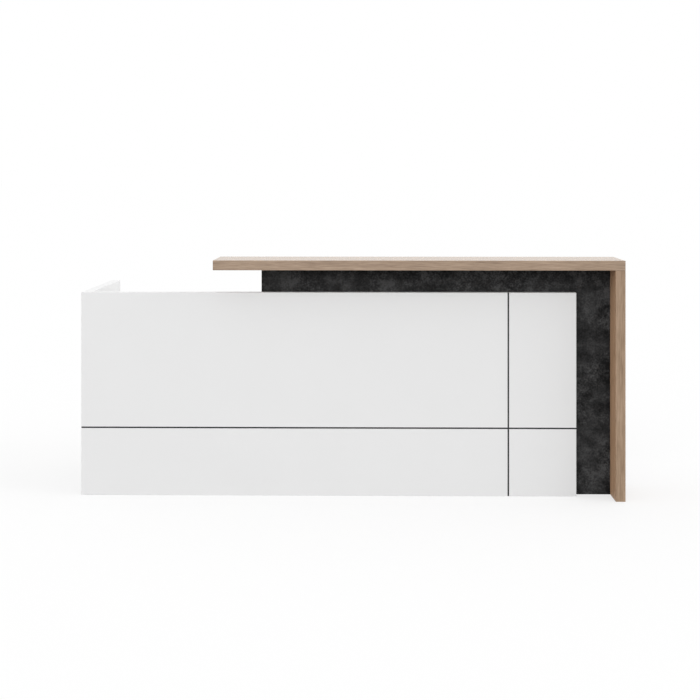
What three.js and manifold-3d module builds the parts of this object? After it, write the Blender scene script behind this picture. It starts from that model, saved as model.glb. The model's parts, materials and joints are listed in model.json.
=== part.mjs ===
// Reception desk. A white panelled front with black inlaid joints stands before a slate-look panel. An oak
// counter lies on the slate panel and on an oak leg at the right-hand end. Behind them are the sides, the
// worktop and its gable, with the brackets, cam fittings, levelling feet and cable fittings of such a desk.
//
// Millimetres, +Z up. Visitors stand at -Y and staff sit at +Y, so +X is to a visitor's right.
// The origin is on the floor, under the middle of the desk's overall length and depth.

import * as THREE from "three";
import { mergeVertices } from "three/addons/utils/BufferGeometryUtils.js";
import Module from "manifold-3d";

const wasm = await Module();
wasm.setup();

// Clearances and edges
const FIT = 0.3; // gap between pieces that bear on each other or fit together
const OVERCUT = 1; // how far a cutter reaches past the face that it opens
const BOARD_EASE = 1; // chamfer along the edges of a board
const FACING_EASE = 0.5; // the same on the facing boards of the white front

// White front
const FRONT_LENGTH = 2304;
const FRONT_HEIGHT = 945;
const FRONT_THICKNESS = 45; // facing boards and carrier board together
const FACING_THICKNESS = 18;
const JOINT_WIDTH = 7; // open joint between two facing boards
const JOINT_DEPTH = 1.5; // from the white face back to the inlay strip
const LOWER_ROW_HEIGHT = 315; // floor to the middle of the level joint
const RIGHT_COLUMN_WIDTH = 315; // right-hand end to the middle of the upright joint

// Slate panel
const SLATE_LENGTH = 1629.5;
const SLATE_THICKNESS = 25;
const SLATE_SHOWN_ABOVE = 110; // between the white front and the counter
const SLATE_SHOWN_RIGHT = 164; // between the white front and the leg

// Oak counter and leg
const COUNTER_THICKNESS = 45;
const COUNTER_DEPTH = 335;
const COUNTER_OVERHANG_LEFT = 212; // past the slate panel's free end
const COUNTER_OVERHANG_FRONT = 110.5; // past the white face
const LEG_THICKNESS = 45;

// Sides, worktop and gable
const BODY_DEPTH = 799.5; // white face to the back edges of the sides
const SIDE_THICKNESS = 45;
const WORKTOP_HEIGHT = 740;
const WORKTOP_THICKNESS = 25;
const WORKTOP_SETBACK = 12; // from the back edges of the sides
const GABLE_THICKNESS = 36;
const GABLE_DEPTH = 420;

// Screws
const SCREW_RADIUS = 2.2;
const SCREW_LENGTH = 18;
const SCREW_HEAD_RADIUS = 4.2;
const SCREW_HEAD_HEIGHT = 2.6;
const SCREW_CROWN_RADIUS = 3.2; // flat top of the head
const CROSS_WIDTH = 1.1;
const CROSS_LENGTH = 4.8;
const CROSS_DEPTH = 1.2;

// Angle brackets
const BRACKET_THICKNESS = 3;
const BRACKET_WIDTH = 40;
const BRACKET_BEND = 3; // inside radius of the bend
const BRACKET_SCREW_EDGE = 18; // screw to the free end of a flange
const COUNTER_BRACKET_FLANGE = 75;
const COUNTER_BRACKET_COUNT = 3;
const WORKTOP_BRACKET_FLANGE = 60;
const SIDE_BRACKET_INSET = 160; // from the worktop's back edge

// Cam fittings between the sides and the pieces in front of them
const CAM_RADIUS = 7.5;
const CAM_DEPTH = 12.5;
const CAM_INSET = 34; // from the side's front edge
const CAM_END_INSET = 120; // from the side's top and bottom edges
const CAM_BOLT_DEPTH = 7; // bolt's axis below the side's inner face
const BOLT_HEAD_RADIUS = 3.4;
const BOLT_HEAD_LENGTH = 4;
const BOLT_NECK_RADIUS = 2;
const BOLT_NECK_LENGTH = 3;
const BOLT_THREAD_RADIUS = 2.8;
const BOLT_THREAD_LENGTH = 11;

// Levelling feet, screwed right in
const PAD_RADIUS = 11;
const PAD_THICKNESS = 5;
const PAD_CHAMFER = 1;
const PAD_CLEARANCE = 1; // round the pad and above it in its recess
const STUD_RADIUS = 5;
const STUD_LENGTH = 36;
const SLEEVE_WALL = 2.5;
const SLEEVE_LENGTH = 25;
const FOOT_INSET = 70; // from the ends of the panel that the foot is in

// Cable grommets in the worktop
const GROMMET_HOLE_RADIUS = 40;
const GROMMET_FLANGE_WIDTH = 6;
const GROMMET_FLANGE_HEIGHT = 2.5;
const GROMMET_CHAMFER = 0.8;
const GROMMET_WALL = 2.5;
const GROMMET_DEPTH = 22; // below the worktop's top face
const LEDGE_WIDTH = 4; // ledge that the cap turns on
const LEDGE_THICKNESS = 2.5;
const CAP_THICKNESS = 3.5;
const CAP_EASE = 0.5;
const CAP_SLOT_WIDTH = 24;
const CAP_SLOT_REACH = 23; // cap's rim to the round end of its slot

// Cable tray under the worktop
const TRAY_LENGTH = 900;
const TRAY_DEPTH = 100;
const TRAY_HEIGHT = 90;
const TRAY_LIP = 45;
const TRAY_FLANGE = 25;
const TRAY_SHEET = 1.5;
const TRAY_CLEARANCE = 15; // between the tray's flange and the bracket in front of it
const TRAY_SCREW_INSET = 60; // from the tray's ends

// Sides of the polygons that stand for circles
const SCREW_SIDES = 12;
const FITTING_SIDES = 16;
const GROMMET_SIDES = 36;
const CAP_ARC_STEPS = 32;
const BEND_STEPS = 8;

const MATERIALS = {
  white: new THREE.MeshStandardMaterial({ color: 0xe7e7e7, roughness: 0.45, metalness: 0 }),
  oak: new THREE.MeshStandardMaterial({ color: 0xa8927d, roughness: 0.5, metalness: 0 }),
  slate: new THREE.MeshStandardMaterial({ color: 0x2f2f30, roughness: 0.6, metalness: 0 }),
  inlay: new THREE.MeshStandardMaterial({ color: 0x1d1d1f, roughness: 0.4, metalness: 0.3 }),
  steel: new THREE.MeshStandardMaterial({ color: 0xb9bcbf, roughness: 0.35, metalness: 1 }),
  tray: new THREE.MeshStandardMaterial({ color: 0x232427, roughness: 0.55, metalness: 0.2 }),
  plastic: new THREE.MeshStandardMaterial({ color: 0x2b2c2e, roughness: 0.5, metalness: 0 }),
};

// Layout: each board fills a span, given as its low and high value along each axis

const middle = ([low, high]) => (low + high) / 2;
const right = (FRONT_LENGTH + SLATE_SHOWN_RIGHT + LEG_THICKNESS) / 2;
const left = -right;
const back = (COUNTER_OVERHANG_FRONT + BODY_DEPTH) / 2;
const front = -back;
const whiteFace = front + COUNTER_OVERHANG_FRONT;
const whiteBack = whiteFace + FRONT_THICKNESS;
const slateFace = whiteBack + FIT;
const facingBack = whiteFace + FACING_THICKNESS;
const whiteRight = left + FRONT_LENGTH;
const levelJoint = [LOWER_ROW_HEIGHT - JOINT_WIDTH / 2, LOWER_ROW_HEIGHT + JOINT_WIDTH / 2];
const uprightJoint = [
  whiteRight - RIGHT_COLUMN_WIDTH - JOINT_WIDTH / 2,
  whiteRight - RIGHT_COLUMN_WIDTH + JOINT_WIDTH / 2,
];
const counterUnderside = FRONT_HEIGHT + SLATE_SHOWN_ABOVE;
const counterDepthSpan = [front, front + COUNTER_DEPTH];
const worktopUnderside = WORKTOP_HEIGHT - WORKTOP_THICKNESS;

const leg = {
  x: [right - LEG_THICKNESS, right],
  y: counterDepthSpan,
  z: [0, counterUnderside - FIT],
};
const slate = {
  x: [leg.x[0] - FIT - SLATE_LENGTH, leg.x[0] - FIT],
  y: [slateFace, slateFace + SLATE_THICKNESS],
  z: [0, counterUnderside - FIT],
};
const counter = {
  x: [slate.x[0] - COUNTER_OVERHANG_LEFT, right],
  y: counterDepthSpan,
  z: [counterUnderside, counterUnderside + COUNTER_THICKNESS],
};
const carrier = { x: [left, whiteRight], y: [facingBack + FIT, whiteBack], z: [0, FRONT_HEIGHT] };
const leftSide = { x: [left, left + SIDE_THICKNESS], y: [whiteBack + FIT, back], z: [0, FRONT_HEIGHT] };
const rightSide = { x: [right - SIDE_THICKNESS, right], y: [leg.y[1] + FIT, back], z: [0, FRONT_HEIGHT] };
const worktop = {
  x: [leftSide.x[1] + FIT, Math.min(leg.x[0], rightSide.x[0]) - FIT],
  y: [whiteBack + FIT, back - WORKTOP_SETBACK],
  z: [worktopUnderside, WORKTOP_HEIGHT],
};
const gableMiddle = middle(worktop.x);
const gable = {
  x: [gableMiddle - GABLE_THICKNESS / 2, gableMiddle + GABLE_THICKNESS / 2],
  y: [slate.y[1] + FIT, slate.y[1] + FIT + GABLE_DEPTH],
  z: [0, worktopUnderside - FIT],
};
const leftBayMiddle = middle([worktop.x[0], gable.x[0]]);
const rightBayMiddle = middle([gable.x[1], worktop.x[1]]);
const frontBracketEnd = carrier.y[1] + FIT + WORKTOP_BRACKET_FLANGE;
const trayBack = frontBracketEnd + TRAY_CLEARANCE + TRAY_FLANGE;

// Solids and meshes

function solidOf(geometry) {
  const bare = geometry.clone();
  bare.deleteAttribute("normal");
  bare.deleteAttribute("uv");
  const merged = mergeVertices(bare);
  const vertProperties = new Float32Array(merged.attributes.position.array);
  const triVerts = new Uint32Array(merged.index.array);
  return new wasm.Manifold(new wasm.Mesh({ numProp: 3, vertProperties, triVerts }));
}

function geometryOf(solid) {
  const { vertProperties, triVerts } = solid.getMesh();
  const geometry = new THREE.BufferGeometry();
  geometry.setAttribute("position", new THREE.BufferAttribute(new Float32Array(vertProperties), 3));
  geometry.setIndex(new THREE.BufferAttribute(new Uint32Array(triVerts), 1));
  return geometry;
}

const desk = new THREE.Group();

function addMesh(parent, name, geometry, material) {
  const mesh = new THREE.Mesh(geometry, material);
  mesh.name = name;
  parent.add(mesh);
  return mesh;
}

// A turned piece about the Z axis, from its profile of [radius, height] points, walked anticlockwise.
function turned(profile, sides) {
  const points = profile.map(([radius, height]) => new THREE.Vector2(radius, height));
  return new THREE.LatheGeometry(points, sides).rotateX(Math.PI / 2);
}

function rod(radius, from, to, sides) {
  return turned([[0, from], [radius, from], [radius, to], [0, to]], sides);
}

// A sheet of the given outline with eased edges, centred on its thickness.
function eased(shape, thickness, ease) {
  const bevel = Math.min(ease, thickness / 4);
  const geometry = new THREE.ExtrudeGeometry(shape, {
    depth: thickness - 2 * bevel,
    bevelThickness: bevel,
    bevelSize: bevel,
    bevelOffset: -bevel,
    bevelSegments: 1,
  });
  return geometry.translate(0, 0, bevel - thickness / 2);
}

function outline(points) {
  return new THREE.Shape(points.map(([x, y]) => new THREE.Vector2(x, y)));
}

// Turns a sheet drawn in XY so that its thickness runs along another axis.
function faceAlong(geometry, axis) {
  if (axis !== "z") geometry.rotateX(Math.PI / 2);
  if (axis === "x") geometry.rotateZ(Math.PI / 2);
  return geometry;
}

// Cutters that the fittings leave in the boards, by board name, in the desk's own frame
const cutters = new Map();

function cutInto(boardName, geometry, place) {
  const list = cutters.get(boardName) ?? [];
  list.push(geometry.applyMatrix4(place));
  cutters.set(boardName, list);
}

function addSheet(name, geometry, position, material) {
  let solid = solidOf(geometry);
  for (const cutter of cutters.get(name) ?? []) {
    solid = solid.subtract(solidOf(cutter.translate(-position.x, -position.y, -position.z)));
  }
  addMesh(desk, name, geometryOf(solid), material).position.copy(position);
}

// A board that fills its span, with its thickness along the given axis.
function addBoard(name, span, axis, material, ease = BOARD_EASE) {
  const [along, across] = { x: ["y", "z"], y: ["x", "z"], z: ["x", "y"] }[axis];
  const size = (key) => span[key][1] - span[key][0];
  const [a, b] = [size(along) / 2, size(across) / 2];
  const rectangle = outline([[-a, -b], [a, -b], [a, b], [-a, b]]);
  const geometry = faceAlong(eased(rectangle, size(axis), ease), axis);
  addSheet(name, geometry, new THREE.Vector3(middle(span.x), middle(span.y), middle(span.z)), material);
}

// Screws

function crossRecess() {
  const bar = solidOf(new THREE.BoxGeometry(CROSS_LENGTH, CROSS_WIDTH, 2 * CROSS_DEPTH));
  return bar.add(solidOf(new THREE.BoxGeometry(CROSS_WIDTH, CROSS_LENGTH, 2 * CROSS_DEPTH)));
}

// A pan-head screw: its head bears at the origin and its shank runs along +Z.
function screwGeometry() {
  const body = turned([
    [0, -SCREW_HEAD_HEIGHT],
    [SCREW_CROWN_RADIUS, -SCREW_HEAD_HEIGHT],
    [SCREW_HEAD_RADIUS, -SCREW_HEAD_HEIGHT / 2],
    [SCREW_HEAD_RADIUS, 0],
    [SCREW_RADIUS, 0],
    [SCREW_RADIUS, SCREW_LENGTH - SCREW_RADIUS],
    [0, SCREW_LENGTH],
  ], SCREW_SIDES);
  const recess = crossRecess().translate([0, 0, -SCREW_HEAD_HEIGHT]);
  return geometryOf(solidOf(body).subtract(recess));
}

function screwHole() {
  return rod(SCREW_RADIUS + FIT, 0, SCREW_LENGTH + FIT, SCREW_SIDES);
}

// Adds a screw to a group and cuts its hole in the board that it holds in. Returns its place in the group.
function addScrew(group, name, position, tilt, board) {
  const screw = addMesh(group, name, screwGeometry(), MATERIALS.steel);
  screw.position.copy(position);
  screw.rotation.y = tilt;
  screw.updateWorldMatrix(true, false);
  cutInto(board, screwHole(), screw.matrixWorld);
  return screw.matrix;
}

// Angle brackets

// The outside of the bend is at the origin: one flange runs along +X and the other down -Z.
function bracketGeometry(flange) {
  const outside = BRACKET_BEND + BRACKET_THICKNESS;
  const shape = new THREE.Shape();
  shape.absarc(outside, -outside, outside, Math.PI / 2, Math.PI, false);
  shape.lineTo(0, -flange);
  shape.lineTo(BRACKET_THICKNESS, -flange);
  shape.absarc(outside, -outside, BRACKET_BEND, Math.PI, Math.PI / 2, true);
  shape.lineTo(flange, -BRACKET_THICKNESS);
  shape.lineTo(flange, 0);
  const options = { depth: BRACKET_WIDTH, bevelEnabled: false, curveSegments: BEND_STEPS / 2 };
  const geometry = new THREE.ExtrudeGeometry(shape, options).translate(0, 0, -BRACKET_WIDTH / 2);
  return faceAlong(geometry, "y");
}

// A bracket under a top board and against an upright one, with a screw into each.
function addBracket({ name, flange, corner, turn, under, against }) {
  const group = new THREE.Group();
  group.position.copy(corner);
  group.rotation.z = turn;
  desk.add(group);
  const reach = flange - BRACKET_SCREW_EDGE;
  const seat = BRACKET_THICKNESS + FIT;
  const places = [
    addScrew(group, `${name}_top_screw`, new THREE.Vector3(reach, 0, -seat), 0, under),
    addScrew(group, `${name}_wall_screw`, new THREE.Vector3(seat, 0, -reach), -Math.PI / 2, against),
  ];
  let solid = solidOf(bracketGeometry(flange));
  for (const place of places) solid = solid.subtract(solidOf(screwHole().applyMatrix4(place)));
  addMesh(group, name, geometryOf(solid), MATERIALS.steel);
}

const bracketPitch = (slate.x[1] - slate.x[0]) / COUNTER_BRACKET_COUNT;
for (let i = 0; i < COUNTER_BRACKET_COUNT; i += 1) {
  const x = slate.x[0] + (i + 0.5) * bracketPitch;
  addBracket({
    name: `counter_bracket_${i + 1}`,
    flange: COUNTER_BRACKET_FLANGE,
    corner: new THREE.Vector3(x, slate.y[1] + FIT, counterUnderside - FIT),
    turn: Math.PI / 2,
    under: "counter_top",
    against: "slate_panel",
  });
}

const sideBracketY = worktop.y[1] - SIDE_BRACKET_INSET;
const worktopBrackets = [
  { place: "left", x: leftSide.x[1] + FIT, y: sideBracketY, turn: 0, against: "left_side_panel" },
  { place: "right", x: rightSide.x[0] - FIT, y: sideBracketY, turn: Math.PI, against: "right_side_panel" },
  {
    place: "front",
    x: middle([leftSide.x[1], slate.x[0]]),
    y: carrier.y[1] + FIT,
    turn: Math.PI / 2,
    against: "front_carrier_board",
  },
];
for (const { place, x, y, turn, against } of worktopBrackets) {
  addBracket({
    name: `worktop_bracket_${place}`,
    flange: WORKTOP_BRACKET_FLANGE,
    corner: new THREE.Vector3(x, y, worktopUnderside - FIT),
    turn,
    under: "worktop",
    against,
  });
}

// Cam fittings

const boltShankStart = BOLT_HEAD_LENGTH / 2 + BOLT_NECK_LENGTH;
const boltEnd = CAM_INSET + FIT + BOLT_THREAD_LENGTH;

// Lays a piece turned about Z along the bolt's axis, which is +X at the bolt's depth.
function alongBolt(geometry) {
  return geometry.rotateY(Math.PI / 2).translate(0, 0, CAM_BOLT_DEPTH);
}

function camGeometry() {
  const body = solidOf(rod(CAM_RADIUS, 0, CAM_DEPTH, FITTING_SIDES));
  const mouthStart = -BOLT_HEAD_LENGTH / 2 - FIT;
  const mouth = rod(BOLT_HEAD_RADIUS + FIT, mouthStart, CAM_RADIUS + OVERCUT, FITTING_SIDES);
  return geometryOf(body.subtract(solidOf(alongBolt(mouth))).subtract(crossRecess()));
}

function boltGeometry() {
  return alongBolt(turned([
    [0, -BOLT_HEAD_LENGTH / 2],
    [BOLT_HEAD_RADIUS, -BOLT_HEAD_LENGTH / 2],
    [BOLT_HEAD_RADIUS, BOLT_HEAD_LENGTH / 2],
    [BOLT_NECK_RADIUS, BOLT_HEAD_LENGTH / 2],
    [BOLT_NECK_RADIUS, boltShankStart],
    [BOLT_HEAD_RADIUS, boltShankStart],
    [BOLT_HEAD_RADIUS, CAM_INSET],
    [BOLT_THREAD_RADIUS, CAM_INSET],
    [BOLT_THREAD_RADIUS, boltEnd],
    [0, boltEnd],
  ], FITTING_SIDES));
}

// A cam let into a side's inner face, and its bolt from there into the piece in front of the side.
function addCam({ name, x, y, z, inward, side, mate }) {
  const group = new THREE.Group();
  const towardsMate = new THREE.Vector3(0, -1, 0);
  const intoSide = new THREE.Vector3(inward, 0, 0);
  const sideways = new THREE.Vector3().crossVectors(intoSide, towardsMate);
  group.setRotationFromMatrix(new THREE.Matrix4().makeBasis(towardsMate, sideways, intoSide));
  group.position.set(x, y, z);
  desk.add(group);
  group.updateWorldMatrix(true, false);
  addMesh(group, `cam_${name}`, camGeometry(), MATERIALS.steel);
  addMesh(group, `cam_bolt_${name}`, boltGeometry(), MATERIALS.steel);
  const edgeBore = rod(BOLT_HEAD_RADIUS + FIT, 0, CAM_INSET + OVERCUT, FITTING_SIDES);
  const threadBore = rod(BOLT_THREAD_RADIUS + FIT, CAM_INSET, boltEnd + FIT, FITTING_SIDES);
  cutInto(side, rod(CAM_RADIUS + FIT, -OVERCUT, CAM_DEPTH + FIT, FITTING_SIDES), group.matrixWorld);
  cutInto(side, alongBolt(edgeBore), group.matrixWorld);
  cutInto(mate, alongBolt(threadBore), group.matrixWorld);
}

const camHeights = { lower: CAM_END_INSET, upper: FRONT_HEIGHT - CAM_END_INSET };
for (const [level, z] of Object.entries(camHeights)) {
  addCam({
    name: `left_${level}`,
    x: leftSide.x[1],
    y: leftSide.y[0] + CAM_INSET,
    z,
    inward: -1,
    side: "left_side_panel",
    mate: "front_carrier_board",
  });
  addCam({
    name: `right_${level}`,
    x: rightSide.x[0],
    y: rightSide.y[0] + CAM_INSET,
    z,
    inward: 1,
    side: "right_side_panel",
    mate: "counter_leg",
  });
}

// Levelling feet

const recessDepth = PAD_THICKNESS + PAD_CLEARANCE;
const sleeveRadius = STUD_RADIUS + FIT + SLEEVE_WALL;
const sleeveTop = recessDepth + SLEEVE_LENGTH;
const studTop = PAD_THICKNESS + STUD_LENGTH;

function footGeometry() {
  return turned([
    [0, 0],
    [PAD_RADIUS - PAD_CHAMFER, 0],
    [PAD_RADIUS, PAD_CHAMFER],
    [PAD_RADIUS, PAD_THICKNESS],
    [STUD_RADIUS, PAD_THICKNESS],
    [STUD_RADIUS, studTop],
    [0, studTop],
  ], FITTING_SIDES);
}

function sleeveGeometry() {
  return turned([
    [sleeveRadius, recessDepth],
    [sleeveRadius, sleeveTop],
    [STUD_RADIUS + FIT, sleeveTop],
    [STUD_RADIUS + FIT, recessDepth],
    [sleeveRadius, recessDepth],
  ], FITTING_SIDES);
}

function footSeat() {
  const studBoreTop = Math.max(studTop, sleeveTop + FIT) + PAD_CLEARANCE;
  return turned([
    [0, -OVERCUT],
    [PAD_RADIUS + PAD_CLEARANCE, -OVERCUT],
    [PAD_RADIUS + PAD_CLEARANCE, recessDepth],
    [sleeveRadius + FIT, recessDepth],
    [sleeveRadius + FIT, sleeveTop + FIT],
    [STUD_RADIUS + FIT, sleeveTop + FIT],
    [STUD_RADIUS + FIT, studBoreTop],
    [0, studBoreTop],
  ], FITTING_SIDES);
}

const feet = [
  { place: "left_front", panel: "left_side_panel", span: leftSide, y: leftSide.y[0] + FOOT_INSET },
  { place: "left_rear", panel: "left_side_panel", span: leftSide, y: leftSide.y[1] - FOOT_INSET },
  { place: "gable_front", panel: "centre_gable", span: gable, y: gable.y[0] + FOOT_INSET },
  { place: "gable_rear", panel: "centre_gable", span: gable, y: gable.y[1] - FOOT_INSET },
  { place: "right_front", panel: "counter_leg", span: leg, y: leg.y[0] + FOOT_INSET },
  { place: "right_rear", panel: "right_side_panel", span: rightSide, y: rightSide.y[1] - FOOT_INSET },
];
for (const { place, panel, span, y } of feet) {
  const group = new THREE.Group();
  group.position.set(middle(span.x), y, 0);
  desk.add(group);
  group.updateWorldMatrix(true, false);
  addMesh(group, `levelling_foot_${place}`, footGeometry(), MATERIALS.plastic);
  addMesh(group, `foot_sleeve_${place}`, sleeveGeometry(), MATERIALS.steel);
  cutInto(panel, footSeat(), group.matrixWorld);
}

// Cable grommets, with heights from the worktop's top face

const linerOutside = GROMMET_HOLE_RADIUS - FIT;
const linerInside = linerOutside - GROMMET_WALL;
const flangeRadius = GROMMET_HOLE_RADIUS + GROMMET_FLANGE_WIDTH;
const flangeTop = FIT + GROMMET_FLANGE_HEIGHT;
const capRadius = linerInside - FIT;
const capUnderside = flangeTop - CAP_THICKNESS;
const ledgeTop = capUnderside - FIT;
const ledgeUnderside = ledgeTop - LEDGE_THICKNESS;
const ledgeRadius = linerInside - LEDGE_WIDTH;

function linerGeometry() {
  return turned([
    [flangeRadius, FIT],
    [flangeRadius, flangeTop - GROMMET_CHAMFER],
    [flangeRadius - GROMMET_CHAMFER, flangeTop],
    [linerInside, flangeTop],
    [linerInside, ledgeTop],
    [ledgeRadius, ledgeTop],
    [ledgeRadius, ledgeUnderside],
    [linerInside, ledgeUnderside],
    [linerInside, -GROMMET_DEPTH],
    [linerOutside, -GROMMET_DEPTH],
    [linerOutside, FIT],
    [flangeRadius, FIT],
  ], GROMMET_SIDES);
}

// A round cap with a slot for cables, open towards -Y.
function capGeometry() {
  const half = CAP_SLOT_WIDTH / 2;
  const slotAngle = Math.asin(half / capRadius);
  const slotMiddle = CAP_SLOT_REACH - half - capRadius;
  const shape = new THREE.Shape();
  shape.absarc(0, 0, capRadius, -Math.PI / 2 + slotAngle, (3 * Math.PI) / 2 - slotAngle, false);
  shape.lineTo(-half, slotMiddle);
  shape.absarc(0, slotMiddle, half, Math.PI, 0, true);
  const geometry = new THREE.ExtrudeGeometry(shape, {
    depth: CAP_THICKNESS - 2 * CAP_EASE,
    bevelThickness: CAP_EASE,
    bevelSize: CAP_EASE,
    bevelOffset: -CAP_EASE,
    bevelSegments: 1,
    curveSegments: CAP_ARC_STEPS / 2,
  });
  return geometry.translate(0, 0, capUnderside + CAP_EASE);
}

const grommetY = trayBack + TRAY_DEPTH / 2;
for (const [place, x] of [["left", leftBayMiddle], ["right", rightBayMiddle]]) {
  const group = new THREE.Group();
  group.position.set(x, grommetY, WORKTOP_HEIGHT);
  desk.add(group);
  group.updateWorldMatrix(true, false);
  addMesh(group, `cable_grommet_${place}`, linerGeometry(), MATERIALS.plastic);
  addMesh(group, `grommet_cap_${place}`, capGeometry(), MATERIALS.plastic);
  const hole = rod(GROMMET_HOLE_RADIUS, -WORKTOP_THICKNESS - OVERCUT, OVERCUT, GROMMET_SIDES);
  cutInto("worktop", hole, group.matrixWorld);
}

// Cable tray: a folded sheet that hangs from its flange

function addTray() {
  const group = new THREE.Group();
  group.position.set(leftBayMiddle, trayBack, worktopUnderside - FIT);
  desk.add(group);
  const section = outline([
    [-TRAY_FLANGE, -TRAY_SHEET],
    [0, -TRAY_SHEET],
    [0, -TRAY_HEIGHT],
    [TRAY_DEPTH, -TRAY_HEIGHT],
    [TRAY_DEPTH, TRAY_LIP - TRAY_HEIGHT],
    [TRAY_DEPTH - TRAY_SHEET, TRAY_LIP - TRAY_HEIGHT],
    [TRAY_DEPTH - TRAY_SHEET, TRAY_SHEET - TRAY_HEIGHT],
    [TRAY_SHEET, TRAY_SHEET - TRAY_HEIGHT],
    [TRAY_SHEET, 0],
    [-TRAY_FLANGE, 0],
  ]);
  const sheet = new THREE.ExtrudeGeometry(section, { depth: TRAY_LENGTH, bevelEnabled: false });
  let solid = solidOf(faceAlong(sheet.translate(0, 0, -TRAY_LENGTH / 2), "x"));
  const reach = TRAY_LENGTH / 2 - TRAY_SCREW_INSET;
  for (const [place, x] of [["left", -reach], ["right", reach]]) {
    const position = new THREE.Vector3(x, -TRAY_FLANGE / 2, -TRAY_SHEET - FIT);
    const hole = screwHole().applyMatrix4(addScrew(group, `tray_screw_${place}`, position, 0, "worktop"));
    solid = solid.subtract(solidOf(hole));
  }
  addMesh(group, "cable_tray", geometryOf(solid), MATERIALS.tray);
}
addTray();

// Boards of the white front, with the inlay strips in their joints

const columns = {
  left: [left, uprightJoint[0]],
  right: [uprightJoint[1], whiteRight],
};
const rows = {
  lower: [0, levelJoint[0]],
  upper: [levelJoint[1], FRONT_HEIGHT],
};
for (const [row, z] of Object.entries(rows)) {
  for (const [column, x] of Object.entries(columns)) {
    const span = { x, y: [whiteFace, facingBack], z };
    addBoard(`front_board_${row}_${column}`, span, "y", MATERIALS.white, FACING_EASE);
  }
}
addBoard("front_carrier_board", carrier, "y", MATERIALS.white);

const within = ([low, high]) => [low + FIT, high - FIT];
const inlayDepth = [whiteFace + JOINT_DEPTH, facingBack];
const uprightInlay = { x: within(uprightJoint), y: inlayDepth, z: [0, FRONT_HEIGHT] };
addBoard("inlay_strip_upright", uprightInlay, "x", MATERIALS.inlay);
for (const [column, x] of Object.entries(columns)) {
  addBoard(`inlay_strip_level_${column}`, { x, y: inlayDepth, z: within(levelJoint) }, "z", MATERIALS.inlay);
}

// Slate panel, counter, leg, sides and gable

addBoard("slate_panel", slate, "y", MATERIALS.slate);
addBoard("counter_top", counter, "z", MATERIALS.oak);
addBoard("counter_leg", leg, "x", MATERIALS.oak);
addBoard("left_side_panel", leftSide, "x", MATERIALS.white);
addBoard("right_side_panel", rightSide, "x", MATERIALS.white);
addBoard("centre_gable", gable, "x", MATERIALS.white);

// Worktop, notched where it meets the slate panel

const notchX = slate.x[0] - FIT;
const notchY = slate.y[1] + FIT;
const worktopOutline = outline([
  [worktop.x[0], worktop.y[0]],
  [notchX, worktop.y[0]],
  [notchX, notchY],
  [worktop.x[1], notchY],
  [worktop.x[1], worktop.y[1]],
  [worktop.x[0], worktop.y[1]],
]);
const worktopMiddle = new THREE.Vector3(0, 0, middle(worktop.z));
addSheet("worktop", eased(worktopOutline, WORKTOP_THICKNESS, BOARD_EASE), worktopMiddle, MATERIALS.white);

export default desk;
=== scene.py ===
# Reception desk: the finish of every piece, the floor, the light and the camera.
# Metres, +Z up. Visitors stand at -Y and staff sit at +Y, so +X is to a visitor's right.

import json
import math

import bmesh
import bpy
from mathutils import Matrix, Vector

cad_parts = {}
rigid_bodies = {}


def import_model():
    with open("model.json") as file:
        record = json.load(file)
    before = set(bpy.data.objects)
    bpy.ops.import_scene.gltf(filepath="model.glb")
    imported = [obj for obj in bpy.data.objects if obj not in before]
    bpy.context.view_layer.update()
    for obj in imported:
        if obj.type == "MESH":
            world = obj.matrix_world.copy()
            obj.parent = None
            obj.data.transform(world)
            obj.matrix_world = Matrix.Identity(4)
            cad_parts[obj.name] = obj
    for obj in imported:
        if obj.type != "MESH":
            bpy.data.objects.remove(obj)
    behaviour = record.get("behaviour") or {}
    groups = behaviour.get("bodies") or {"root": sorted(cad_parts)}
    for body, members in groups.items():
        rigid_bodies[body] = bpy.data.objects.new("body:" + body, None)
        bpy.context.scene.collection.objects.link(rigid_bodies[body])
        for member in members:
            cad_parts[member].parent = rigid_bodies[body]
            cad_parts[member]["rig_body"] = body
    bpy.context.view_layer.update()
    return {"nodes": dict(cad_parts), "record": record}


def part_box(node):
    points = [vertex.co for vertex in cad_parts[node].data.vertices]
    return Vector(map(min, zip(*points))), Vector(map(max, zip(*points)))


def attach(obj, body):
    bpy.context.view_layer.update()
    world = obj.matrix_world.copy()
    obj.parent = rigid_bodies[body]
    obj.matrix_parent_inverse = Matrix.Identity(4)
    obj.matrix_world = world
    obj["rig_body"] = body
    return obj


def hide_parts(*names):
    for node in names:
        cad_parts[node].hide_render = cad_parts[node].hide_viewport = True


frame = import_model()

X, Y, Z = 0, 1, 2

# Mesh
WELD = 0.000004  # points closer than this are one point
FLAT_ANGLE = math.radians(0.5)  # faces that meet flatter than this are one face
SHARP_ANGLE = math.radians(40)  # edges sharper than this are rounded
SMOOTH_ANGLE = math.radians(34)  # edges flatter than this are shaded as a curve
ROUND_STEPS = 3
BOARD_ROUND = 0.0006
METAL_ROUND = 0.0003
PLASTIC_ROUND = 0.0004
SIDE_FACING = 0.9  # a face that points this much along an axis is on a side across it
EDGE_MARK = "edge"  # attribute that is 1 on the rounded edges of a piece and 0 on its faces
RING_CUTS = 4  # new points on each side of a polygon that stands for a circle
HOLE_REACH = 0.014  # points further than this from a fitting's axis aren't on the hole that holds it
# Words in the names of turned pieces
TURNED = ("screw", "cam_", "levelling_foot_", "foot_sleeve_", "cable_grommet_")
# Turned pieces whose round holes in a board can be seen
HELD_IN = {
    "left_side_panel": (
        "cam_left_lower",
        "cam_left_upper",
        "foot_sleeve_left_front",
        "foot_sleeve_left_rear",
    ),
    "right_side_panel": ("cam_right_lower", "cam_right_upper", "foot_sleeve_right_rear"),
    "centre_gable": ("foot_sleeve_gable_front", "foot_sleeve_gable_rear"),
    "counter_leg": ("foot_sleeve_right_front",),
}


# Node graphs

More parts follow.
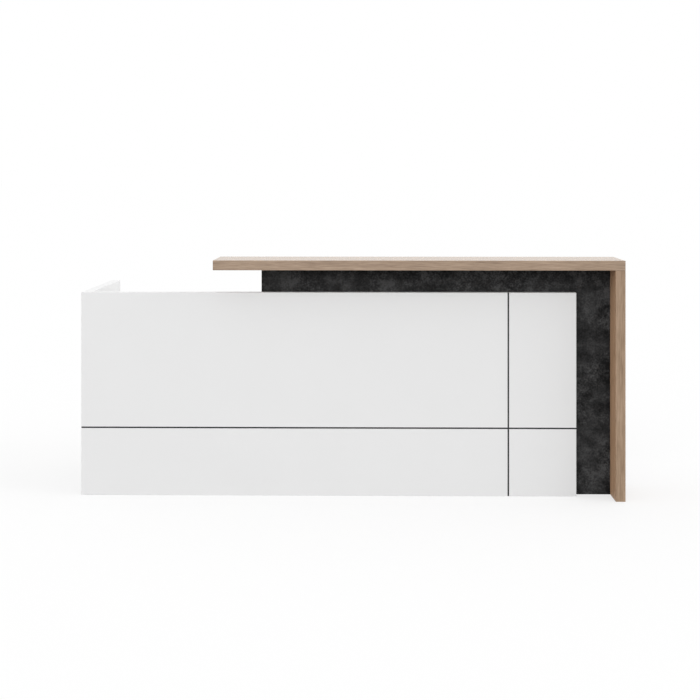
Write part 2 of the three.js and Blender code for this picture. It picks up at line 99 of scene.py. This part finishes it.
NOISE_LOW, NOISE_HIGH = 0.3, 0.7  # between which nearly all of a noise lies
MIX_SHARE, MIX_COLOUR, MIX_OTHER, MIX_RESULT = 0, 6, 7, 2  # the Mix node's sockets for colours


class Graph:
    """The node graph of one material."""

    def __init__(self, name):
        self.material = bpy.data.materials.new(name)
        self.material.use_nodes = True
        self.tree = self.material.node_tree
        self.shader = self.tree.nodes["Principled BSDF"]

    def feed(self, socket, value):
        """Links a socket to another one, or sets it to a plain value."""
        if isinstance(value, bpy.types.NodeSocket):
            self.tree.links.new(value, socket)
        else:
            socket.default_value = value

    def node(self, kind, inputs, output=0, **settings):
        """An output of a new node with these inputs and settings."""
        node = self.tree.nodes.new(kind)
        for key, value in settings.items():
            setattr(node, key, value)
        for key, value in inputs.items():
            self.feed(node.inputs[key], value)
        return node.outputs[output]

    def noise(self, sizes, detail=2.0, roughness=0.5, distortion=0.0, start=(0, 0, 0)):
        """Noise whose features have the given size, or sizes along X, Y and Z, in metres."""
        sizes = sizes if isinstance(sizes, tuple) else (sizes,) * 3
        place = self.node("ShaderNodeTexCoord", {}, "Object")
        scaled = self.node("ShaderNodeMapping", {
            "Vector": place,
            "Location": start,
            "Scale": tuple(1 / size for size in sizes),
        })
        return self.node("ShaderNodeTexNoise", {
            "Vector": scaled,
            "Scale": 1.0,
            "Detail": detail,
            "Roughness": roughness,
            "Distortion": distortion,
        })

    def math(self, operation, a, b=0.0):
        return self.node("ShaderNodeMath", {0: a, 1: b}, operation=operation)

    def sum(self, *weighted):
        """The sum of (value, weight) pairs."""
        total = 0.0
        for value, weight in weighted:
            total = self.node("ShaderNodeMath", {0: value, 1: weight, 2: total}, operation="MULTIPLY_ADD")
        return total

    def span(self, value, low, high, to_low, to_high):
        """A value carried over from one range to another."""
        return self.node("ShaderNodeMapRange", {
            "Value": value,
            "From Min": low,
            "From Max": high,
            "To Min": to_low,
            "To Max": to_high,
        })

    def vary(self, noise, low, high):
        """A value that follows a noise from low to high."""
        return self.span(noise, NOISE_LOW, NOISE_HIGH, low, high)

    def ramp(self, value, *stops):
        """A colour ramp from (place, colour) stops."""
        output = self.node("ShaderNodeValToRGB", {"Fac": value})
        elements = output.node.color_ramp.elements
        while len(elements) < len(stops):
            elements.new(1.0)
        for element, (place, colour) in zip(elements, stops):
            element.position = place
            element.color = opaque(colour)
        return output

    def shade(self, noise, dark, light):
        """A colour that follows a noise from dark to light."""
        return self.ramp(noise, (NOISE_LOW, dark), (NOISE_HIGH, light))

    def mix(self, mask, share, colour, other):
        """A colour with a share of a plain other one where the mask is 1."""
        inputs = {
            MIX_SHARE: self.math("MULTIPLY", mask, share),
            MIX_COLOUR: colour,
            MIX_OTHER: opaque(other),
        }
        return self.node("ShaderNodeMix", inputs, MIX_RESULT, data_type="RGBA")

    def wear(self, share, colour, worn):
        """A colour with a share of a worn one along the rounded edges."""
        edge = self.node("ShaderNodeAttribute", {}, "Fac", attribute_name=EDGE_MARK)
        return self.mix(edge, share, colour, worn)

    def bump(self, height, depth, strength):
        """Relief of a depth in metres."""
        normal = self.node("ShaderNodeBump", {"Height": height, "Distance": depth, "Strength": strength})
        self.feed(self.shader.inputs["Normal"], normal)

    def finish(self, **inputs):
        """The material, with these inputs of its shader."""
        for key, value in inputs.items():
            self.feed(self.shader.inputs[key.replace("_", " ")], value)
        return self.material


def grey(value):
    return (value, value, value)


def opaque(colour):
    return (*colour, 1.0)


def tinted(shade_tint, colour):
    return tuple(share * value for share, value in zip(shade_tint, colour))


# Finishes

OAK_DARK = (0.278, 0.184, 0.115)
OAK_MIDDLE = (0.395, 0.274, 0.181)
OAK_LIGHT = (0.496, 0.359, 0.251)
OAK_PORE = (0.15, 0.090, 0.052)
OAK_WORN = (0.39, 0.265, 0.175)
OAK_SHEEN_SWING = 0.04  # how far the grain shifts the roughness each way
RING_TURNS = 45.0  # radians of growth rings across the whole range of a noise
COUNTER_SHEEN = {"roughness": 0.22, "specular": 0.85}
LEG_SHEEN = {"roughness": 0.55, "specular": 0.40}
LEG_GRAIN_START = (4.6, 1.7, 3.4)  # where the broad grain darkens towards the floor
LEG_SHADE_TINT = (1.085, 0.955, 0.855)  # painted shade: the leg's broad faces are tinted warmer than its edge band, for the warm shaded look of its inner face
SLATE_DARK = (0.004, 0.004, 0.0041)
SLATE_MIDDLE = (0.0288, 0.0288, 0.0293)
SLATE_LIGHT = (0.072, 0.072, 0.0731)


def white_board():
    graph = Graph("white_board")
    cloud = graph.noise(0.35, detail=4, roughness=0.6)
    pearl = graph.noise(0.0011, detail=2)
    tone = graph.sum((cloud, 0.7), (pearl, 0.3))
    face = graph.shade(tone, grey(0.835), (0.847, 0.847, 0.848))
    smudge = graph.noise(0.12, detail=5, roughness=0.65, distortion=0.5)
    graph.bump(pearl, depth=0.00004, strength=0.35)
    return graph.finish(
        Base_Color=graph.wear(0.5, face, grey(0.78)),
        Roughness=graph.vary(smudge, 0.39, 0.43),
    )


def oak_board(name, along, roughness, specular, shade_tint=(1, 1, 1), start=(0, 0, 0)):
    """Oak laminate whose grain runs along the given axis."""
    graph = Graph(name)

    def streaks(length, width, **settings):
        """Noise drawn out along the grain."""
        sizes = [width] * 3
        sizes[along] = length
        return graph.noise(tuple(sizes), **settings)

    broad = streaks(0.20, 0.018, detail=2, roughness=0.5, distortion=0.2, start=start)
    narrow = streaks(0.07, 0.004, detail=2, roughness=0.55)
    fine = streaks(0.04, 0.0016, detail=2, roughness=0.6)
    contour = streaks(0.75, 0.05, detail=1, roughness=0.4, start=(3.1, 1.7, 2.3))
    rings = graph.math("SINE", graph.math("MULTIPLY", contour, RING_TURNS))
    figure = graph.span(rings, -1.0, 1.0, 0.0, 1.0)
    pores = graph.span(streaks(0.022, 0.0007, detail=1), 0.56, 0.70, 0.0, 1.0)
    tone = graph.sum((broad, 0.27), (narrow, 0.51), (fine, 0.17), (figure, 0.05))
    # The tint, where one is given, is painted shade: it warms the oak colours of the leg's broad faces
    wood = graph.ramp(
        tone,
        (0.34, tinted(shade_tint, OAK_DARK)),
        (0.50, tinted(shade_tint, OAK_MIDDLE)),
        (0.66, tinted(shade_tint, OAK_LIGHT)),
    )
    pored = graph.mix(pores, 0.22, wood, OAK_PORE)
    relief = graph.math("SUBTRACT", graph.math("MULTIPLY", fine, 0.6), pores)
    graph.bump(relief, depth=0.0001, strength=0.25)
    return graph.finish(
        Base_Color=graph.wear(0.25, pored, OAK_WORN),
        Roughness=graph.vary(narrow, roughness - OAK_SHEEN_SWING, roughness + OAK_SHEEN_SWING),
        Specular_IOR_Level=specular,
        Diffuse_Roughness=0.7,
    )


def slate_board():
    graph = Graph("slate_board")
    quiet = graph.span(graph.noise(0.21, detail=1, start=(3.2, 6.7, 2.9)), 0.35, 0.65, 0.55, 1.25)
    cloud = graph.noise(0.078, detail=2, roughness=0.45, distortion=0.25, start=(5.0, 8.1, 0.9))
    patch = graph.noise(0.026, detail=2, roughness=0.55, distortion=0.2, start=(5.0, 1.0, 2.0))
    fleck = graph.noise(0.0085, detail=3, roughness=0.6)
    rubbed = graph.sum((patch, 0.45), (fleck, 0.55), (0.5, -1.0))
    tone = graph.sum((cloud, 0.44), (graph.math("MULTIPLY", rubbed, quiet), 1.0), (0.28, 1.0))
    stone = graph.ramp(tone, (0.37, SLATE_DARK), (0.50, SLATE_MIDDLE), (0.63, SLATE_LIGHT))
    graph.bump(graph.sum((patch, 0.4), (fleck, 0.6)), depth=0.0003, strength=0.5)
    return graph.finish(
        Base_Color=graph.wear(0.4, stone, grey(0.02)),
        Roughness=graph.vary(patch, 0.50, 0.68),
        Specular_IOR_Level=0.12,
    )


def black_inlay():
    graph = Graph("black_inlay")
    drawn = graph.noise(0.004, detail=3, roughness=0.6)
    graph.bump(drawn, depth=0.0001, strength=0.3)
    return graph.finish(
        Base_Color=graph.shade(drawn, (0.008, 0.008, 0.009), (0.015, 0.015, 0.016)),
        Roughness=graph.vary(drawn, 0.40, 0.55),
        Specular_IOR_Level=0.3,
    )


def zinc_steel():
    graph = Graph("zinc_steel")
    spangle = graph.node("ShaderNodeTexVoronoi", {"Scale": 260.0}, "Color")
    crystal = graph.node("ShaderNodeRGBToBW", {"Color": spangle})
    haze = graph.noise(0.012, detail=4, roughness=0.6)
    tone = graph.sum((crystal, 0.3), (haze, 0.7))
    scratch = graph.noise((0.02, 0.0006, 0.0006), detail=2)
    graph.bump(scratch, depth=0.00003, strength=0.3)
    return graph.finish(
        Base_Color=graph.ramp(tone, (0.2, (0.42, 0.43, 0.45)), (0.8, (0.62, 0.63, 0.64))),
        Metallic=1.0,
        Roughness=graph.span(tone, 0.2, 0.8, 0.28, 0.46),
    )


def black_steel():
    graph = Graph("black_steel")
    peel = graph.noise(0.0014, detail=2)
    dust = graph.noise(0.03, detail=4, roughness=0.6)
    paint = graph.shade(dust, (0.014, 0.014, 0.015), (0.022, 0.022, 0.023))
    graph.bump(peel, depth=0.00012, strength=0.5)
    return graph.finish(
        Base_Color=graph.wear(0.3, paint, (0.05, 0.05, 0.052)),
        Roughness=graph.vary(dust, 0.45, 0.6),
    )


def moulded_plastic(name, dark, light):
    graph = Graph(name)
    grain = graph.node("ShaderNodeTexVoronoi", {"Scale": 1500.0}, "Distance")
    haze = graph.noise(0.02, detail=4, roughness=0.6)
    colour = graph.shade(haze, grey(dark), grey(light))
    graph.bump(grain, depth=0.00008, strength=0.4)
    return graph.finish(
        Base_Color=graph.wear(0.35, colour, grey(2 * light)),
        Roughness=graph.vary(haze, 0.42, 0.56),
    )


OAK = [
    oak_board("oak_board_along_x", X, **COUNTER_SHEEN),
    oak_board("oak_board_along_y", Y, **COUNTER_SHEEN),
    oak_board("oak_board_along_z", Z, **LEG_SHEEN, start=LEG_GRAIN_START),
]
# A warmer copy of the leg's oak, tinted with painted shade for its broad faces
LEG_SHADED_FACE = oak_board("oak_leg_shaded_face", Z, **LEG_SHEEN, shade_tint=LEG_SHADE_TINT)
# The finish of each material slot and the radius of its edges
FINISHES = {
    "white_board": (white_board(), BOARD_ROUND),
    "oak_board": (OAK[X], BOARD_ROUND),
    "slate_board": (slate_board(), BOARD_ROUND),
    "black_inlay": (black_inlay(), PLASTIC_ROUND),
    "zinc_steel": (zinc_steel(), METAL_ROUND),
    "black_steel": (black_steel(), METAL_ROUND),
    "black_plastic": (moulded_plastic("black_plastic", 0.018, 0.03), PLASTIC_ROUND),
    "foot_plastic": (moulded_plastic("foot_plastic", 0.022, 0.036), PLASTIC_ROUND),
}


# Pieces

def turning_axis(node):
    """The middle of a turned piece and its axis, across which its two sizes are most alike."""
    low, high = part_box(node)
    size = high - low
    unlike = [abs(size[axis - 1] - size[axis - 2]) for axis in (X, Y, Z)]
    return (low + high) / 2, unlike.index(min(unlike))


def make_round(solid, middle, axis, limit=math.inf):
    """Turns the polygons about an axis, out to a limit, into circles of the same radius."""
    reach = solid.verts.layers.float.new("reach")

    def off_axis(point):
        out = point - middle
        out[axis] = 0.0
        return out

    def is_side(edge):
        """Whether an edge is one side of a polygon about the axis, and no chord through its middle."""
        a, b = edge.verts
        level = abs(a.co[axis] - b.co[axis]) < WELD and abs(a[reach] - b[reach]) < WELD
        outside = off_axis((a.co + b.co) / 2).length > a[reach] / 2
        return level and outside and 2 * WELD < a[reach] < limit

    for vert in solid.verts:
        vert[reach] = off_axis(vert.co).length
    sides = [edge for edge in solid.edges if is_side(edge)]
    bmesh.ops.subdivide_edges(solid, edges=sides, cuts=RING_CUTS, use_grid_fill=True)
    # A new point's reach is that of the side's two ends, and it moves out to there
    for vert in solid.verts:
        out = off_axis(vert.co)
        if out.length > WELD and vert[reach] < limit:
            vert.co += out * (vert[reach] / out.length - 1)
    solid.verts.layers.float.remove(reach)


def rounded_mesh(node, radius):
    """The node's own solid with its sharp edges rounded and marked."""
    solid = bmesh.new()
    solid.from_mesh(frame["nodes"][node].data)
    rounded = solid.faces.layers.float.new(EDGE_MARK)
    bmesh.ops.remove_doubles(solid, verts=solid.verts, dist=WELD)
    bmesh.ops.dissolve_limit(solid, angle_limit=FLAT_ANGLE, verts=solid.verts, edges=solid.edges)
    if any(word in node for word in TURNED):
        make_round(solid, *turning_axis(node))
    elif node.startswith("grommet_cap_"):
        # The slot in a cap's rim hides its own middle, so it takes its grommet's
        make_round(solid, *turning_axis(node.replace("grommet_cap", "cable_grommet")))
    for fitting in HELD_IN.get(node, ()):
        make_round(solid, *turning_axis(fitting), HOLE_REACH)
    sharp = [edge for edge in solid.edges if edge.is_manifold and edge.calc_face_angle() > SHARP_ANGLE]
    bevel = bmesh.ops.bevel(
        solid,
        geom=sharp,
        offset=radius,
        segments=ROUND_STEPS,
        profile=0.5,
        affect="EDGES",
        clamp_overlap=True,
    )
    for face in bevel["faces"]:
        face[rounded] = 1.0
    # Where a narrow face limits the rounding, faces of no size are left
    bmesh.ops.dissolve_degenerate(solid, dist=WELD, edges=solid.edges)
    for face in solid.faces:
        face.smooth = True
    for edge in solid.edges:
        edge.smooth = edge.is_manifold and edge.calc_face_angle() < SMOOTH_ANGLE
    mesh = bpy.data.meshes.new(f"{node}_finish")
    solid.to_mesh(mesh)
    solid.free()
    return mesh


def add_piece(node, slot):
    """The finished piece that stands for a CAD node."""
    material, radius = FINISHES[slot]
    mesh = rounded_mesh(node, radius)
    mesh.materials.append(material)
    piece = bpy.data.objects.new(mesh.name, mesh)
    bpy.context.scene.collection.objects.link(piece)
    flats = piece.modifiers.new("flat faces", "WEIGHTED_NORMAL")
    flats.keep_sharp = True
    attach(piece, frame["nodes"][node]["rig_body"])
    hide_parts(node)
    return piece


def dress_board(piece, finish, sides):
    """Gives a board a finish, and other finishes on the sides that face along the given axes."""
    piece.data.materials.clear()
    piece.data.materials.append(finish)
    for index, (axis, other) in enumerate(sides.items(), 1):
        piece.data.materials.append(other)
        for face in piece.data.polygons:
            if abs(face.normal[axis]) > SIDE_FACING:
                face.material_index = index


pieces = {}
for part in frame["record"]["subparts"]:
    pieces[part["node"]] = add_piece(part["node"], part["material_slot"])
dress_board(pieces["counter_top"], OAK[X], {X: OAK[Y]})
# The leg's faces across X take the warmer copy, tinted with painted shade
dress_board(pieces["counter_leg"], OAK[Z], {X: LEG_SHADED_FACE, Z: OAK[Y]})


# Light

SKY_LIGHT = 0.93  # where 1 is white
LAMP_SPREAD = math.radians(34)
# For each lamp, its turn to the right of straight in front, its rise above level, and the light that a
# face square to it gets, where 1 is white
LAMPS = {
    "key_light": (math.radians(-8), math.radians(22), 0.262),
    "right_light": (math.radians(75), math.radians(15), 0.29),
}


def add_lamp(name, turn, rise, level):
    """A broad soft light from far away."""
    data = bpy.data.lights.new(name, "SUN")
    data.energy = level * math.pi
    data.angle = LAMP_SPREAD
    lamp = bpy.data.objects.new(name, data)
    lamp.rotation_euler = (math.pi / 2 - rise, 0.0, turn)
    bpy.context.scene.collection.objects.link(lamp)


def seen_directly(tree):
    """1 for what sees a surface directly, mirrored or through glass, and 0 for what it lights."""
    rays = tree.nodes.new("ShaderNodeLightPath").outputs
    seen = rays["Is Camera Ray"]
    for ray in ("Is Glossy Ray", "Is Transmission Ray"):
        either = tree.nodes.new("ShaderNodeMath")
        either.operation = "MAXIMUM"
        tree.links.new(seen, either.inputs[0])
        tree.links.new(rays[ray], either.inputs[1])
        seen = either.outputs["Value"]
    return seen


def add_sky():
    """A white surround, which lights the object by SKY_LIGHT."""
    world = bpy.data.worlds.new("surround")
    bpy.context.scene.world = world
    world.use_nodes = True
    tree = world.node_tree
    level = tree.nodes.new("ShaderNodeMapRange")
    level.inputs["To Min"].default_value = SKY_LIGHT
    level.inputs["To Max"].default_value = 1.0
    tree.links.new(seen_directly(tree), level.inputs["Value"])
    background = tree.nodes["Background"]
    background.inputs["Color"].default_value = opaque(grey(1.0))
    tree.links.new(level.outputs["Result"], background.inputs["Strength"])


# Floor

FLOOR_REACH = 300.0
FLOOR_DARK, FLOOR_LIGHT = 0.305, 0.315
FLOOR_LIFT = 0.657  # added to the floor where it is seen, so that it meets the white surround


def add_floor():
    mesh = bpy.data.meshes.new("floor")
    corners = [(x * FLOOR_REACH, y * FLOOR_REACH, 0.0) for x, y in ((-1, -1), (1, -1), (1, 1), (-1, 1))]
    mesh.from_pydata(corners, [], [(0, 1, 2, 3)])
    floor = bpy.data.objects.new("floor", mesh)
    bpy.context.scene.collection.objects.link(floor)
    graph = Graph("floor")
    speck = graph.noise(0.004, detail=2)
    mesh.materials.append(graph.finish(
        Base_Color=graph.shade(speck, grey(FLOOR_DARK), grey(FLOOR_LIGHT)),
        Roughness=0.4,
        Specular_IOR_Level=0.0,
        Emission_Color=opaque(grey(1.0)),
        Emission_Strength=graph.math("MULTIPLY", seen_directly(graph.tree), FLOOR_LIFT),
    ))


add_sky()
for name, settings in LAMPS.items():
    add_lamp(name, *settings)
add_floor()


# Camera, as the photograph was taken: level, with the frame shifted down

IMAGE_SIDE = 700  # pixels
HORIZON_ROW = 177.2  # pixels from the top
FOCAL_PIXELS = 1465.0
SENSOR = 36.0  # millimetres
CAMERA_PLACE = Vector((0.100, -7.158, 1.4815))
CAMERA_TURN = 0.0151  # radians to the left


def add_camera():
    data = bpy.data.cameras.new("camera")
    data.sensor_width = SENSOR
    data.lens = SENSOR * FOCAL_PIXELS / IMAGE_SIDE
    data.shift_y = HORIZON_ROW / IMAGE_SIDE - 0.5
    camera = bpy.data.objects.new("camera", data)
    camera.location = CAMERA_PLACE
    camera.rotation_euler = (math.pi / 2, 0.0, CAMERA_TURN)
    bpy.context.scene.collection.objects.link(camera)
    bpy.context.scene.camera = camera


add_camera()
bpy.context.scene.view_settings.view_transform = "Standard"
